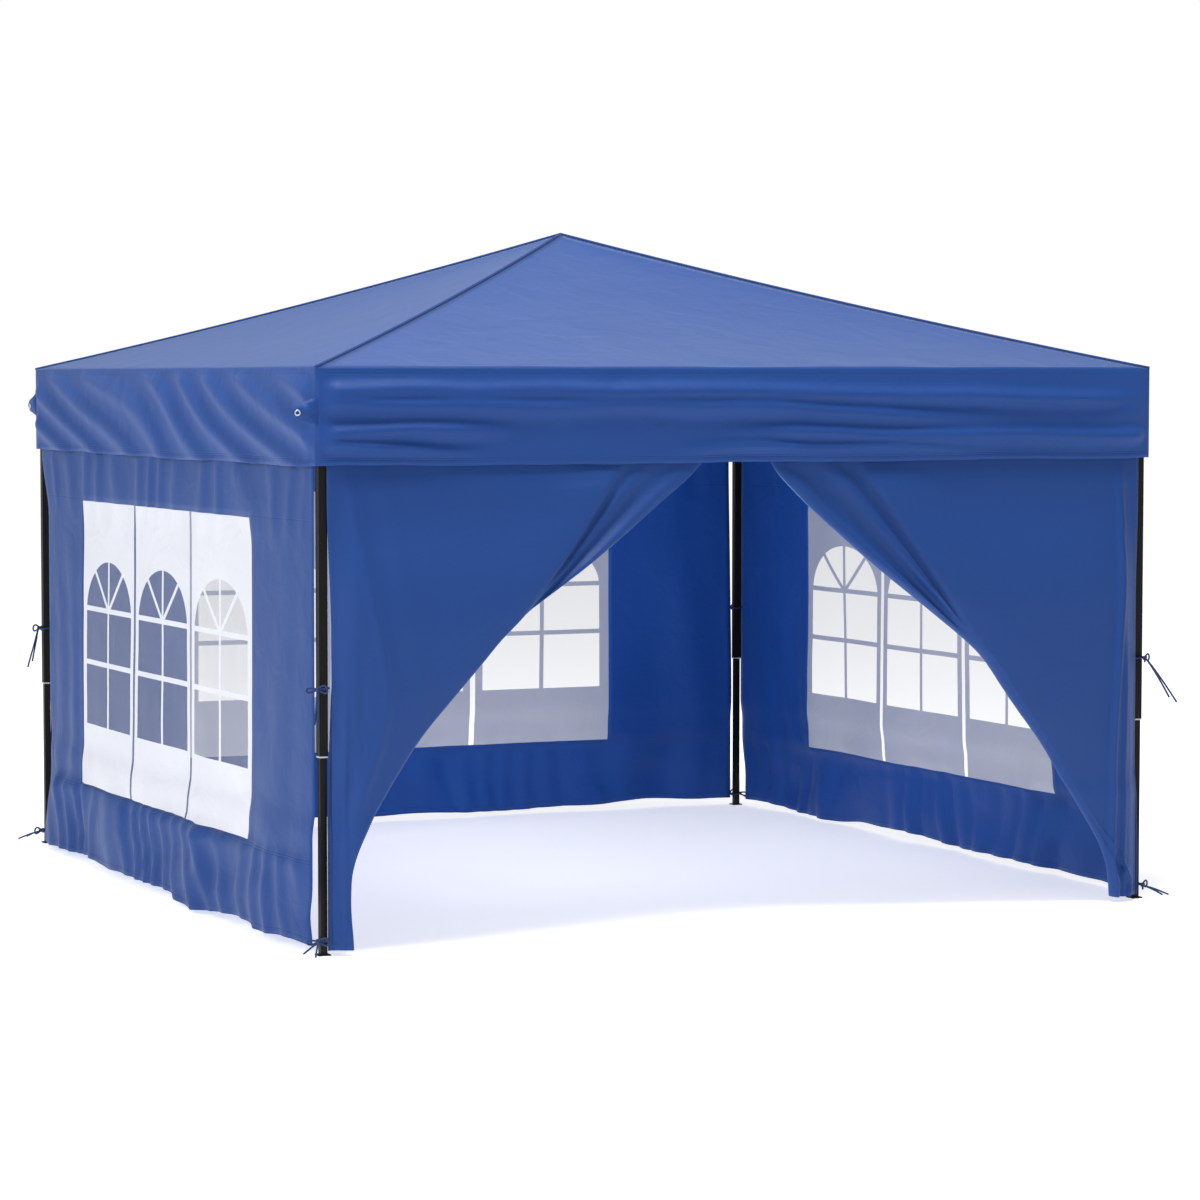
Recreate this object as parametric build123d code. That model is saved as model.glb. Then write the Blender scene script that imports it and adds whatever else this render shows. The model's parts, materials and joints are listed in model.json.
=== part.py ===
"""Pop up gazebo: a folding scissor frame on four telescoping legs, with its canopy and walls.

Origin on the ground at the middle of the square. +Z is up and -Y is the front.
Parts are made for the +X side or corner and turned about Z to the others.
"""

import os
from math import atan2, degrees, hypot

from build123d import *

# Overall sizes
SIDE = 3000.0  # outer side of the canopy
EAVE = 1800.0  # height of the eaves
PEAK = 2280.0  # height of the peak
VALANCE = 300.0  # drop of the valance
CLOTH = 0.6  # thickness of the cloth
HEM = 8.0  # gap under the walls

# Legs
TUBE = 28.0  # outer leg, square
TUBE_WALL = 1.5
SLEEVE = 1.5  # gap all round between the lower leg and the bore of the outer one
LOWER = TUBE - 2 * TUBE_WALL - 2 * SLEEVE  # lower leg, square
LOWER_WALL = 1.5
LOWER_TOP = 963.0  # top of the lower leg
GUIDE_CLEAR = 0.2  # guide in the bore, each side
GUIDE_H = 24.0
COLLAR_Z = 609.0  # underside of the collar at the outer leg's end
COLLAR_H = 4.0
COLLAR_CLEAR = 0.3
FOOT_RIM = 9.0  # foot plate beyond the lower leg
FOOT = LOWER + 2 * FOOT_RIM
FOOT_T = 4.0
PEG_R = 3.0  # ground-peg hole
PEG_AT = LOWER / 2 + FOOT_RIM / 2  # from the leg centre, along both sides

# Scissor trusses
HIGH = EAVE - 35.0  # height of the upper pivots
LOW = HIGH - 225.0  # height of the lower pivots
BAR_H, BAR_T, BAR_WALL = 20.0, 10.0, 1.0
BAR_GAP = 1.0  # bar to the truss line
PLANE = BAR_T / 2 + BAR_GAP  # bars lie this far either side of the truss line
PIN_R = 3.0
PIN_CLEAR = 0.05
HOLE_R = PIN_R + PIN_CLEAR
HEAD_R, HEAD_T = PIN_R + 2.5, 2.0
HEAD_GAP = 0.4  # bar to the pin's head
LUG_H, LUG_T, LUG_GAP = 18.0, 8.0, 1.0

# Hubs, post and sliders
HUB = 28.0
HUB_H = 30.0
POST_R = 9.0
POST_CLEAR = 0.3
POST_BORE_R = POST_R + POST_CLEAR
CAP_R, CAP_T = 32.0, 14.0
CAP_TOP = PEAK - CAP_R * (PEAK - EAVE) / (SIDE / 2) - 7.76  # cap's top, clear of the cloth
BRACKET = TUBE + 4.0
SLIDER_CLEAR = 0.3
SLIDER_BORE = TUBE + 2 * SLIDER_CLEAR
SLIDER_WALL = 3.7
SLIDER = SLIDER_BORE + 2 * SLIDER_WALL
SLIDER_H = 50.0

# Places
LEG_C = SIDE / 2 - SLIDER / 2 - 7.0  # leg centre from the middle
AT_LEG = SLIDER / 2 + BAR_H / 2 + 7.0  # pivot from the leg centre
AT_HUB = HUB / 2 + BAR_H / 2 + 1.0  # pivots from the middle of the hub
AT_MID = AT_HUB  # side pivots from the middle of the side

# Walls, measured along the wall from its middle
WALL_X = LEG_C + PLANE + BAR_T / 2 + HEAD_GAP + HEAD_T + 3.1  # inner face of the walls
WALL_HALF = LEG_C - SLIDER / 2 - 5.0
WALL_TOP = EAVE - 40.0
WINDOW_HALF = 900.0
WINDOW_Z = (293.0, 1323.0)

# Free edges of the drawn door halves, from the top down: the share of the wall's half and of its height.
DRAWN_LEFT = [(-0.0826, 1), (-0.1129, 0.8556), (-0.2452, 0.7705), (-0.3788, 0.6872), (-0.4959, 0.6233),
              (-0.5992, 0.5662), (-0.7094, 0.4658), (-0.8106, 0.3733), (-0.8726, 0.2922),
              (-0.9187, 0.2295), (-0.9573, 0.1553), (-0.9614, 0.0696), (-0.958, 0)]
DRAWN_RIGHT = [(0.0207, 1), (0.0275, 0.8556), (0.1253, 0.7745), (0.2169, 0.7123), (0.3092, 0.6495),
               (0.4339, 0.5742), (0.5689, 0.492), (0.6577, 0.3927), (0.7466, 0.3037), (0.7961, 0.2386),
               (0.854, 0.1667), (0.9105, 0.0947), (0.9263, 0)]

SIDES = {"right": 0, "back": 90, "left": 180, "front": 270}
CORNERS = {"br": 0, "bl": 90, "fl": 180, "fr": 270}
CORNER_OF = {("right", 1): "br", ("right", -1): "fr", ("back", 1): "bl", ("back", -1): "br",
             ("left", 1): "fl", ("left", -1): "bl", ("front", 1): "fr", ("front", -1): "fl"}

INNER = LEG_C - AT_LEG  # outer pivots of every truss, from the middle
SPAN = INNER - AT_HUB
BAR_L = hypot(SPAN, HIGH - LOW)
TILT = degrees(atan2(HIGH - LOW, SPAN))
CENTRE = (INNER + AT_HUB) / 2
MIDDLE_Z = (HIGH + LOW) / 2


def block(x, y, z):
    """A box from its low and high corner on each axis."""
    return Pos((x[0] + x[1]) / 2, (y[0] + y[1]) / 2, (z[0] + z[1]) / 2) * Box(
        abs(x[1] - x[0]), abs(y[1] - y[0]), abs(z[1] - z[0]))


def square_tube(size, wall, z0, z1):
    outer = block((-size / 2, size / 2), (-size / 2, size / 2), (z0, z1))
    hole = size / 2 - wall
    return outer - block((-hole, hole), (-hole, hole), (z0 - 1, z1 + 1))


def rod_y(x, z, r, y0, y1):
    """A round rod along Y."""
    return Pos(x, (y0 + y1) / 2, z) * Rot(90, 0, 0) * Cylinder(r, abs(y1 - y0))


def pin(x, z, way):
    """A headed pin along Y that starts in its lug and passes through the bar on the way side."""
    far = way * (PLANE + BAR_T / 2 + HEAD_GAP)
    shank = rod_y(x, z, PIN_R, -way * (LUG_GAP + 3), far + way)
    return shank + rod_y(x, z, HEAD_R, far, far + way * HEAD_T)


def lug(x0, x1, z, way):
    """A plate beside the bar's plane, on the side away from it."""
    return block((x0, x1), (-way * LUG_GAP, -way * (LUG_GAP + LUG_T)), (z - LUG_H / 2, z + LUG_H / 2))


def bar(pinned):
    """A flattened tube along X with rounded, open ends; a pinned one carries the middle pivot."""
    profile = SlotCenterToCenter(BAR_L, BAR_H)
    body = Rot(90, 0, 0) * extrude(profile, BAR_T / 2, both=True)
    body -= Box(BAR_L + 2 * BAR_H, BAR_T - 2 * BAR_WALL, BAR_H - 2 * BAR_WALL)
    for x in (-BAR_L / 2, BAR_L / 2) + (() if pinned else (0,)):
        body -= rod_y(x, 0, HOLE_R, -BAR_T, BAR_T)
    if pinned:
        near, far = -BAR_T / 2, -BAR_T / 2 - 2 * PLANE - HEAD_GAP
        body += rod_y(0, 0, PIN_R, near + BAR_WALL / 2, far - 1)
        body += rod_y(0, 0, HEAD_R, far, far - HEAD_T)
    return body


def truss_bar(way):
    """A centre truss's bar: way 1 falls outwards from the top hub, way -1 rises from the bottom one."""
    return Pos(CENTRE, way * PLANE, MIDDLE_Z) * Rot(0, way * TILT, 0) * bar(way > 0)


def side_bar(kind, s):
    """A side truss's bar: kind a falls from the middle to the slider, kind b rises to the leg top."""
    way = 1 if kind == "a" else -1
    return (Pos(LEG_C - way * PLANE, s * CENTRE, MIDDLE_Z) * Rot(0, 0, 90)
            * Rot(0, way * s * TILT, 0) * bar(kind == "a"))


def hub(z, way, blind):
    """A four-way hub. way is the side of each lug that its bar is on."""
    body = block((-HUB / 2, HUB / 2), (-HUB / 2, HUB / 2), (z - HUB_H / 2, z + HUB_H / 2))
    arm = lug(HUB / 2 - 4, AT_HUB + LUG_H / 2, z, way) + pin(AT_HUB, z, way)
    for turn in SIDES.values():
        body += arm.rotate(Axis.Z, turn)
    bottom = z - HUB_H / 2 + (7 if blind else -1)
    return body - Pos(0, 0, (bottom + z + HUB_H) / 2) * Cylinder(POST_BORE_R, z + HUB_H - bottom)


def centre_post():
    z0, z1 = LOW - HUB_H / 2 + 7.5, CAP_TOP - CAP_T
    tube = Cylinder(POST_R, z1 - z0) - Cylinder(POST_R - 1.5, z1 - z0 + 2)
    return Pos(0, 0, (z0 + z1) / 2) * tube


def peak_cap():
    disc = Pos(0, 0, CAP_TOP - CAP_T / 2) * Cylinder(CAP_R, CAP_T)
    return fillet(disc.edges().sort_by(Axis.Z)[-1], 5)


def mid_bracket(z, way):
    """A side's middle bracket. way -1 is the upper one, whose bars lie on the inner plane."""
    plate = Rot(0, 0, -90) * (lug(-AT_MID - LUG_H / 2 - 1, AT_MID + LUG_H / 2 + 1, z, way)
                              + pin(-AT_MID, z, way) + pin(AT_MID, z, way))
    arm = lug(INNER - LUG_H / 2, LEG_C - way * (LUG_GAP + 3), z, way) + pin(INNER, z, way)
    return Pos(LEG_C, 0, 0) * plate + arm


def at_corner(shape, turn):
    return (Pos(LEG_C, LEG_C, 0) * shape).rotate(Axis.Z, turn)


def top_bracket():
    half = BRACKET / 2
    cap = block((-half, half), (-half, half), (HIGH - 13, HIGH + 23))
    inside = TUBE / 2 - 0.5
    cap -= block((-inside, inside), (-inside, inside), (HIGH - 20, HIGH + 10))
    return cap


def both_lugs(z, way):
    one = lug(-AT_LEG - LUG_H / 2, -TUBE / 2 - 1.5, z, way) + pin(-AT_LEG, z, way)
    return one, one.mirror(Plane.XZ).rotate(Axis.Z, 90)


def leg():
    """The outer leg with its top bracket, and its collar as a solid of its own."""
    tube = square_tube(TUBE, TUBE_WALL, COLLAR_Z + COLLAR_H, HIGH + 5)
    body = tube + top_bracket()
    for one in both_lugs(HIGH, 1):
        body += one
    collar = square_tube(TUBE, (TUBE - LOWER) / 2 - COLLAR_CLEAR, COLLAR_Z, COLLAR_Z + COLLAR_H)
    return body, collar


def slider():
    body = block((-SLIDER / 2, SLIDER / 2), (-SLIDER / 2, SLIDER / 2),
                 (LOW - SLIDER_H / 2, LOW + SLIDER_H / 2))
    for one in both_lugs(LOW, -1):
        body += one
    hole = SLIDER_BORE / 2
    return body - block((-hole, hole), (-hole, hole), (LOW - SLIDER_H, LOW + SLIDER_H))


def lower_leg():
    """The telescoping lower leg with its guide at the top and its foot plate."""
    body = square_tube(LOWER, LOWER_WALL, FOOT_T - 0.5, LOWER_TOP)
    guide = TUBE - 2 * TUBE_WALL - 2 * GUIDE_CLEAR
    body += square_tube(guide, (guide - LOWER) / 2 + 0.5, LOWER_TOP - GUIDE_H, LOWER_TOP)
    body += block((-FOOT / 2, FOOT / 2), (-FOOT / 2, FOOT / 2), (0, FOOT_T))
    return body - Pos(PEG_AT, PEG_AT, FOOT_T / 2) * Cylinder(PEG_R, 2 * FOOT_T)


def roof_panel():
    half, gap = SIDE / 2, 1.0
    corners = [(half, -half + gap, EAVE), (half, half - gap, EAVE), (gap, 0, PEAK)]
    face = make_face(Polyline(*corners, close=True))
    return extrude(face, CLOTH, dir=(0, 0, -1))


def valance():
    half = SIDE / 2
    return block((half - CLOTH, half), (-half + 1.5, half - 1.5), (EAVE - VALANCE, EAVE - CLOTH - 0.4))


def window_wall():
    """A wall with its window sheet sewn on outside."""
    wall = block((WALL_X, WALL_X + CLOTH), (-WALL_HALF, WALL_HALF), (HEM, WALL_TOP))
    sheet = block((WALL_X, WALL_X + 2 * CLOTH), (-WINDOW_HALF, WINDOW_HALF), WINDOW_Z)
    return wall + sheet


def door_half(sign, drawn):
    """A drawn door half, from its leg to its free edge; sign is its side of the middle."""
    free = [(share * WALL_HALF, HEM + up * (WALL_TOP - HEM)) for share, up in drawn]
    outline = [(sign * WALL_HALF, HEM), (sign * WALL_HALF, WALL_TOP), *free]
    points = [(WALL_X, y, z) for y, z in outline]
    return extrude(make_face(Polyline(*points, close=True)), CLOTH, dir=(1, 0, 0))


def save(name, *solids):
    shape = solids[0] if len(solids) == 1 else Compound(children=list(solids))
    export_step(shape, f"parts/{name}.step")


def main():
    os.makedirs("parts", exist_ok=True)
    save("hub_top", hub(HIGH, 1, False))
    save("hub_bottom", hub(LOW, -1, True))
    save("centre_post", centre_post())
    save("peak_cap", peak_cap())
    for name, turn in SIDES.items():
        save(f"truss_a_{name}", truss_bar(1).rotate(Axis.Z, turn))
        save(f"truss_b_{name}", truss_bar(-1).rotate(Axis.Z, turn))
        save(f"mid_upper_{name}", mid_bracket(HIGH, -1).rotate(Axis.Z, turn))
        save(f"mid_lower_{name}", mid_bracket(LOW, 1).rotate(Axis.Z, turn))
        save(f"canopy_{name}", roof_panel().rotate(Axis.Z, turn))
        save(f"valance_{name}", valance().rotate(Axis.Z, turn))
        for s in (1, -1):
            corner = CORNER_OF[name, s]
            for kind in "ab":
                save(f"side_{kind}_{name}_{corner}", side_bar(kind, s).rotate(Axis.Z, turn))
        if name != "front":
            save(f"wall_{name}", window_wall().rotate(Axis.Z, turn))
    halves = [door_half(*half).rotate(Axis.Z, SIDES["front"]) for half in ((-1, DRAWN_LEFT), (1, DRAWN_RIGHT))]
    save("wall_front", *halves)
    for name, turn in CORNERS.items():
        save(f"leg_{name}", *(at_corner(s, turn) for s in leg()))
        save(f"slider_{name}", at_corner(slider(), turn))
        save(f"lower_leg_{name}", at_corner(lower_leg(), turn))


main()
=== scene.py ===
"""Pop up gazebo: its cloth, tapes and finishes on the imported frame.

Each side's pieces are made for the +X side, with x outwards, y along the side and z up, and
turned about Z to their own side. Lengths are in metres.
"""

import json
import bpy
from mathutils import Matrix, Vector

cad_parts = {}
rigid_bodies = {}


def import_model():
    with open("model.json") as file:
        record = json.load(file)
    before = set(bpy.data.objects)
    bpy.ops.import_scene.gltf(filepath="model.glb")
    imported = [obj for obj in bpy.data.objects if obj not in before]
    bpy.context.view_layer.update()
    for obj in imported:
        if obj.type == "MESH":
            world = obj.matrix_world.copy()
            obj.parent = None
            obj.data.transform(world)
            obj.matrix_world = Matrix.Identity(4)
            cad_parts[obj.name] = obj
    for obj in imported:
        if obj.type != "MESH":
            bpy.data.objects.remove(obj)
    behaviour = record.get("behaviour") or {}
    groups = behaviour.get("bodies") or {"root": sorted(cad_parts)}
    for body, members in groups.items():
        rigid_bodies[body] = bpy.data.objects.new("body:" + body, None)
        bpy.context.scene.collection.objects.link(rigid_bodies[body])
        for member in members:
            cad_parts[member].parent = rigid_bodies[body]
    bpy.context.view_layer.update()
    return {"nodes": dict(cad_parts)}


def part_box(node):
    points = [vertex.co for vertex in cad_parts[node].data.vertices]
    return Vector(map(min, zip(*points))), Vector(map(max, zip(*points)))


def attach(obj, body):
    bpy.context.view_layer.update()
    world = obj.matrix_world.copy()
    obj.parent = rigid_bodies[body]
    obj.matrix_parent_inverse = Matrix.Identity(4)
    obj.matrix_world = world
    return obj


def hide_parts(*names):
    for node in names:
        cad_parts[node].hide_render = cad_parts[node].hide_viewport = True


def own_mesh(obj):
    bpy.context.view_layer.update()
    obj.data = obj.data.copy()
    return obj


bl_info = {
    "name": "Pop up gazebo",
    "version": (1, 0, 0),
    "blender": (4, 5, 0),
    "location": "View3D > Sidebar > Gazebo",
    "description": "Makes the cloth, windows, tapes and finishes of a folding pop up gazebo",
    "category": "Object",
}

from math import cos, exp, pi, radians, sin, sqrt

import bmesh
import bpy
from bpy.props import FloatProperty, FloatVectorProperty, PointerProperty
from mathutils import Matrix, Vector, noise

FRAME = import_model()

TURN = {"right": 0, "back": 90, "left": 180, "front": 270}
CORNERS = {"fl": (-1, -1), "fr": (1, -1), "bl": (-1, 1), "br": (1, 1)}
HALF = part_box("valance_right")[1][0]  # middle to the outside of the valance
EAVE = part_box("canopy_front")[0][2] + 0.0006
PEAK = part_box("canopy_front")[1][2]
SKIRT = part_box("valance_front")[0][2]  # bottom of the valance
WALL_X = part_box("wall_right")[0][0]
WALL_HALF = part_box("wall_right")[1][1]
WALL_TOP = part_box("wall_right")[1][2]
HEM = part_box("wall_right")[0][2]
LEG = (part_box("lower_leg_br")[0][0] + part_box("lower_leg_br")[1][0]) / 2
WINDOW_HALF, WINDOW_LOW, WINDOW_HIGH = 0.9, 0.293, 1.323
SLOPE = (PEAK - EAVE) / HALF
TIE_HIGH, TIE_LOW = 0.82, 0.046
TIE_HANG = {"fl": (0.020, 0.125), "fr": (0.105, 0.150), "bl": (0.045, 0.150), "br": (0.030, 0.120)}  # reach, fall
DOOR_DEEPEST = 0.088  # furthest a door stands out of its plane

# Free edges of the two door halves, and the ridge of each one's front fold: (height, place along the front).
DOOR_EDGE = {
    "left": [(1.76, -0.12), (1.507, -0.164), (1.358, -0.356), (1.212, -0.55), (1.10, -0.72), (1.0, -0.87),
             (0.824, -1.03), (0.662, -1.177), (0.52, -1.267), (0.41, -1.334), (0.28, -1.396), (0.13, -1.400),
             (0.008, -1.391)],
    "right": [(1.76, 0.03), (1.507, 0.04), (1.365, 0.182), (1.256, 0.315), (1.146, 0.449), (1.014, 0.63),
              (0.87, 0.826), (0.696, 0.955), (0.54, 1.084), (0.426, 1.156), (0.30, 1.24), (0.174, 1.322),
              (0.008, 1.345)],
}
DOOR_RIDGE = {
    "left": [(1.76, -0.36), (1.493, -0.474), (1.382, -0.556), (1.257, -0.65), (1.153, -0.743), (1.0, -0.87),
             (0.008, -1.5)],
    "right": [(1.76, 0.26), (1.50, 0.391), (1.371, 0.47), (1.242, 0.561), (1.10, 0.653), (1.012, 0.722),
              (0.87, 0.826), (0.008, 1.5)],
}


# ---------------------------------------------------------------- settings

class GazeboClothSettings(bpy.types.PropertyGroup):
    roof_colour: FloatVectorProperty(
        name="Roof", description="Colour of the roof and valance cloth", subtype="COLOR", size=3,
        min=0, max=1, default=(0.0085, 0.053, 0.232))
    # The wall and door blue is the roof's blue made about 12 per cent darker: painted shade for the upright
    # walls, which take less light than the roof.
    shaded_wall_colour: FloatVectorProperty(
        name="Walls", description="Colour of the wall and door cloth", subtype="COLOR", size=3,
        min=0, max=1, default=(0.0075, 0.047, 0.205))
    print_colour: FloatVectorProperty(
        name="Window print", description="Colour of the print round the windows", subtype="COLOR", size=3,
        min=0, max=1, default=(0.60, 0.62, 0.68))
    tape_colour: FloatVectorProperty(
        name="Tapes", description="Colour of the hip bindings and tie tapes", subtype="COLOR", size=3,
        min=0, max=1, default=(0.008, 0.026, 0.100))
    thread: FloatProperty(
        name="Thread", description="Distance from one thread of the weave to the next", unit="LENGTH",
        min=0.0004, max=0.01, default=0.0016, precision=5)
    thickness: FloatProperty(
        name="Cloth thickness", description="Thickness of the cloth", unit="LENGTH",
        min=0.0003, max=0.004, default=0.0012, precision=5)


class GazeboDrapeSettings(bpy.types.PropertyGroup):
    hip_sag: FloatProperty(
        name="Hip sag", description="How far the hips sag halfway up", unit="LENGTH",
        min=0, max=0.1, default=0.016)
    panel_sag: FloatProperty(
        name="Panel sag", description="How far a roof panel sags below its hips", unit="LENGTH",
        min=0, max=0.1, default=0.022)
    skirt_fold: FloatProperty(
        name="Valance folds", description="Depth of the folds in the valance", unit="LENGTH",
        min=0, max=0.03, default=0.016)
    wall_wave: FloatProperty(
        name="Wall waves", description="Depth of the waves at the hem of a wall", unit="LENGTH",
        min=0, max=0.06, default=0.034)
    door_billow: FloatProperty(
        name="Door billow", description="How far a drawn door half swells outwards", unit="LENGTH",
        min=0, max=0.08, default=0.045)


class GazeboFrameSettings(bpy.types.PropertyGroup):
    leg_colour: FloatVectorProperty(
        name="Legs", description="Colour of the powder coat on the legs", subtype="COLOR", size=3,
        min=0, max=1, default=(0.0035, 0.0035, 0.0040))
    collar_colour: FloatVectorProperty(
        name="Collars", description="Colour of the collars at the ends of the outer legs",
        subtype="COLOR", size=3, min=0, max=1, default=(0.42, 0.43, 0.45))
    floor_colour: FloatVectorProperty(
        name="Floor", description="Colour of the floor", subtype="COLOR", size=3,
        min=0, max=1, default=(0.93, 0.93, 0.93))


def cloth_settings():
    return bpy.context.scene.gazebo_cloth


def drape_settings():
    return bpy.context.scene.gazebo_drape


# ---------------------------------------------------------------- shader groups

def new_group(name, inputs, outputs):
    tree = bpy.data.node_groups.new(name, "ShaderNodeTree")
    for socket, kind, value in inputs:
        made = tree.interface.new_socket(socket, in_out="INPUT", socket_type=kind)
        if value is not None:
            made.default_value = value
    for socket, kind in outputs:
        tree.interface.new_socket(socket, in_out="OUTPUT", socket_type=kind)
    return tree, tree.nodes.new("NodeGroupInput"), tree.nodes.new("NodeGroupOutput")


def maths(tree, operation, a, b=None, c=None, clamp=False):
    """A Math node; each of a, b and c is a number or a socket."""
    node = tree.nodes.new("ShaderNodeMath")
    node.operation = operation
    node.use_clamp = clamp
    for i, value in enumerate((a, b, c)):
        if value is None:
            continue
        if isinstance(value, (int, float)):
            node.inputs[i].default_value = value
        else:
            tree.links.new(value, node.inputs[i])
    return node.outputs[0]


def mix_colour(tree, factor, a, b, blend="MIX"):
    node = tree.nodes.new("ShaderNodeMix")
    node.data_type = "RGBA"
    node.blend_type = blend
    for socket, value in ((node.inputs[0], factor), (node.inputs[6], a), (node.inputs[7], b)):
        if isinstance(value, (int, float, tuple)):
            socket.default_value = value
        else:
            tree.links.new(value, socket)
    return node.outputs[2]


def split(tree, vector):
    node = tree.nodes.new("ShaderNodeSeparateXYZ")
    tree.links.new(vector, node.inputs[0])
    return node.outputs


def noise_field(tree, vector, scale, detail=3.0, roughness=0.55, distortion=0.0):
    node = tree.nodes.new("ShaderNodeTexNoise")
    node.inputs["Scale"].default_value = scale
    node.inputs["Detail"].default_value = detail
    node.inputs["Roughness"].default_value = roughness
    node.inputs["Distortion"].default_value = distortion
    tree.links.new(vector, node.inputs["Vector"])
    return node.outputs["Fac"]


def bump(tree, height, distance, strength=1.0, under=None):
    node = tree.nodes.new("ShaderNodeBump")
    node.inputs["Distance"].default_value = distance
    node.inputs["Strength"].default_value = strength
    tree.links.new(height, node.inputs["Height"])
    if under is not None:
        tree.links.new(under, node.inputs["Normal"])
    return node.outputs[0]


def woven_cloth_group():
    """Plain weave with soft creases: warp and weft ribs, faded patches and fine crumpling."""
    tree, given, out = new_group(
        "woven cloth",
        [("Cut", "NodeSocketVector", None), ("Colour", "NodeSocketColor", (0.03, 0.1, 0.33, 1)),
         ("Thread", "NodeSocketFloat", 0.0016), ("Crumple", "NodeSocketFloat", 1.0)],
        [("Colour", "NodeSocketColor"), ("Roughness", "NodeSocketFloat"), ("Normal", "NodeSocketVector")])
    cut = given.outputs["Cut"]
    along, up = split(tree, cut)[:2]
    pitch = maths(tree, "DIVIDE", 2 * pi, given.outputs["Thread"])
    warp = maths(tree, "SINE", maths(tree, "MULTIPLY", along, pitch))
    weft = maths(tree, "SINE", maths(tree, "MULTIPLY", up, pitch))
    rib = maths(tree, "MULTIPLY_ADD", maths(tree, "MULTIPLY", warp, weft), 0.5, 0.5)
    crease = noise_field(tree, cut, 7.0, 5.0, 0.5, 0.6)
    crumple = maths(tree, "MULTIPLY", crease, given.outputs["Crumple"])
    patch = noise_field(tree, cut, 2.3, 2.0)
    speckle = noise_field(tree, cut, 260.0, 2.0)
    shade = maths(tree, "ADD", maths(tree, "MULTIPLY", patch, 0.30), maths(tree, "MULTIPLY", rib, 0.10))
    shade = maths(tree, "ADD", shade, maths(tree, "MULTIPLY", speckle, 0.12), clamp=True)
    dark = mix_colour(tree, 1.0, given.outputs["Colour"], (0.72, 0.74, 0.80, 1), "MULTIPLY")
    tree.links.new(mix_colour(tree, maths(tree, "MULTIPLY", shade, 1.9, clamp=True), dark,
                              given.outputs["Colour"]), out.inputs["Colour"])
    rough = maths(tree, "MULTIPLY_ADD", speckle, 0.10, 0.46)
    tree.links.new(maths(tree, "MULTIPLY_ADD", patch, 0.08, rough), out.inputs["Roughness"])
    soft = bump(tree, crumple, 0.012, 0.55)
    tree.links.new(bump(tree, rib, 0.00012, 0.6, soft), out.inputs["Normal"])
    return tree


def sewn_line_group():
    """A row of stitches: how near a point is to the line, and the dashes of thread on it."""
    tree, given, out = new_group(
        "sewn line",
        [("Across", "NodeSocketFloat", 0.0), ("Along", "NodeSocketFloat", 0.0),
         ("Line", "NodeSocketFloat", 0.3), ("Width", "NodeSocketFloat", 0.003)],
        [("Groove", "NodeSocketFloat"), ("Thread", "NodeSocketFloat")])
    off = maths(tree, "ABSOLUTE", maths(tree, "SUBTRACT", given.outputs["Across"], given.outputs["Line"]))
    close = maths(tree, "SUBTRACT", 1.0, maths(tree, "DIVIDE", off, given.outputs["Width"]), clamp=True)
    dash = maths(tree, "SINE", maths(tree, "MULTIPLY", given.outputs["Along"], 2 * pi / 0.009))
    on = maths(tree, "GREATER_THAN", dash, -0.3)
    tree.links.new(close, out.inputs["Groove"])
    tree.links.new(maths(tree, "MULTIPLY", maths(tree, "GREATER_THAN", close, 0.6), on), out.inputs["Thread"])
    return tree


def window_print_group():
    """Three arched windows in a white print: Print is 1 on the print and 0 on clear film."""
    tree, given, out = new_group(
        "arched window print", [("Cut", "NodeSocketVector", None)],
        [("Print", "NodeSocketFloat"), ("Fade", "NodeSocketFloat")])
    pitch, pane_half, sill, body_top = 0.6, 0.2575, 0.514, 0.93
    arch_foot, arch_rise = 0.925, 0.185
    low_bar, high_bar, bar_half = 0.74, 0.935, 0.009
    fan_slope, line_half = 0.85, 0.011
    along, up = split(tree, given.outputs["Cut"])[:2]
    pane = maths(tree, "SNAP", maths(tree, "ADD", along, pitch / 2), pitch)
    local = maths(tree, "ABSOLUTE", maths(tree, "SUBTRACT", along, pane))
    inside = maths(tree, "LESS_THAN", local, pane_half)
    body = maths(tree, "MULTIPLY", maths(tree, "GREATER_THAN", up, sill), maths(tree, "LESS_THAN", up, body_top))
    width = maths(tree, "POWER", maths(tree, "DIVIDE", local, pane_half), 2.0)
    rise = maths(tree, "ABSOLUTE", maths(tree, "DIVIDE", maths(tree, "SUBTRACT", up, arch_foot), arch_rise))
    arch = maths(tree, "LESS_THAN", maths(tree, "ADD", width, maths(tree, "POWER", rise, 2.0)), 1.0)
    arch = maths(tree, "MULTIPLY", arch, maths(tree, "GREATER_THAN", up, arch_foot))
    glass = maths(tree, "MULTIPLY", inside, maths(tree, "MAXIMUM", body, arch))
    bars = maths(tree, "LESS_THAN", local, bar_half)
    for height in (low_bar, high_bar):
        level = maths(tree, "ABSOLUTE", maths(tree, "SUBTRACT", up, height))
        bars = maths(tree, "MAXIMUM", bars, maths(tree, "LESS_THAN", level, bar_half))
    fan = maths(tree, "ABSOLUTE", maths(tree, "SUBTRACT", maths(tree, "SUBTRACT", up, high_bar),
                                        maths(tree, "MULTIPLY", local, fan_slope)))
    above = maths(tree, "GREATER_THAN", up, high_bar)
    fan = maths(tree, "MULTIPLY", maths(tree, "LESS_THAN", fan, line_half), above)
    bars = maths(tree, "MAXIMUM", bars, fan)
    clear = maths(tree, "MULTIPLY", glass, maths(tree, "SUBTRACT", 1.0, bars))
    strip = maths(tree, "ABSOLUTE", maths(tree, "SUBTRACT", maths(tree, "ABSOLUTE", along), pitch / 2))
    clear = maths(tree, "MAXIMUM", clear, maths(tree, "LESS_THAN", strip, line_half))
    tree.links.new(maths(tree, "SUBTRACT", 1.0, clear), out.inputs["Print"])
    tree.links.new(noise_field(tree, given.outputs["Cut"], 3.0, 3.0), out.inputs["Fade"])
    return tree


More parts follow.
